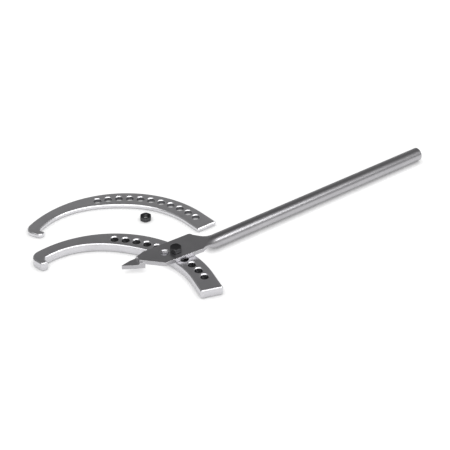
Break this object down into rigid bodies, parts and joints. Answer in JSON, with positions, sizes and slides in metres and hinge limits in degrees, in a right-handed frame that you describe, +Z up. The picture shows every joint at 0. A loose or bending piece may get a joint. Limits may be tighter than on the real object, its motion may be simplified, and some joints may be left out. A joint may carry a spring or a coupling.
{
  "type": "adjustable hook spanner",
  "caption": "Adjustable hook spanner: bar handle with a stepped tooth head, a bolted curved hook arm with a row of holes, and a loose thin hook arm with its nut",
  "frame": {"origin": "centre of the footprint of the whole set, on the face it rests on", "axes": "+X runs along the handle away from the head, +Y points from the handle toward the hooks, +Z is up from the resting face"},
  "size_m": [0.5746, 0.2806, 0.0255],
  "materials": {
    "handle_steel": "satin nickel-plated forged steel",
    "arm_steel": "satin nickel-plated steel plate with softened edges",
    "black_steel": "black oxide"
  },
  "bodies": {
    "handle": {"handle": "handle_steel"},
    "thick_hook_arm": {"thick_hook_arm": "arm_steel"},
    "thin_hook_arm": {"thin_hook_arm": "arm_steel"},
    "pivot_bolt": {"pivot_bolt": "black_steel"},
    "lock_nut": {"lock_nut": "black_steel"}
  },
  "joints": [
    {"name": "hook_pivot", "type": "hinge", "parent": "handle", "child": "thick_hook_arm", "pos_m": [-0.13268, -0.05036, 0], "axis": [0, 0, 1], "range_deg": [-31, 18]},
    {"name": "bolt_withdraw", "type": "slide", "parent": "handle", "child": "pivot_bolt", "axis": [0, 0, 1], "range_m": [0, 0.03]},
    {"name": "thin_arm_lift", "type": "slide", "parent": "handle", "child": "thin_hook_arm", "axis": [0, 0, 1], "range_m": [0, 0.05]},
    {"name": "nut_lift", "type": "slide", "parent": "handle", "child": "lock_nut", "axis": [0, 0, 1], "range_m": [0, 0.03]}
  ]
}
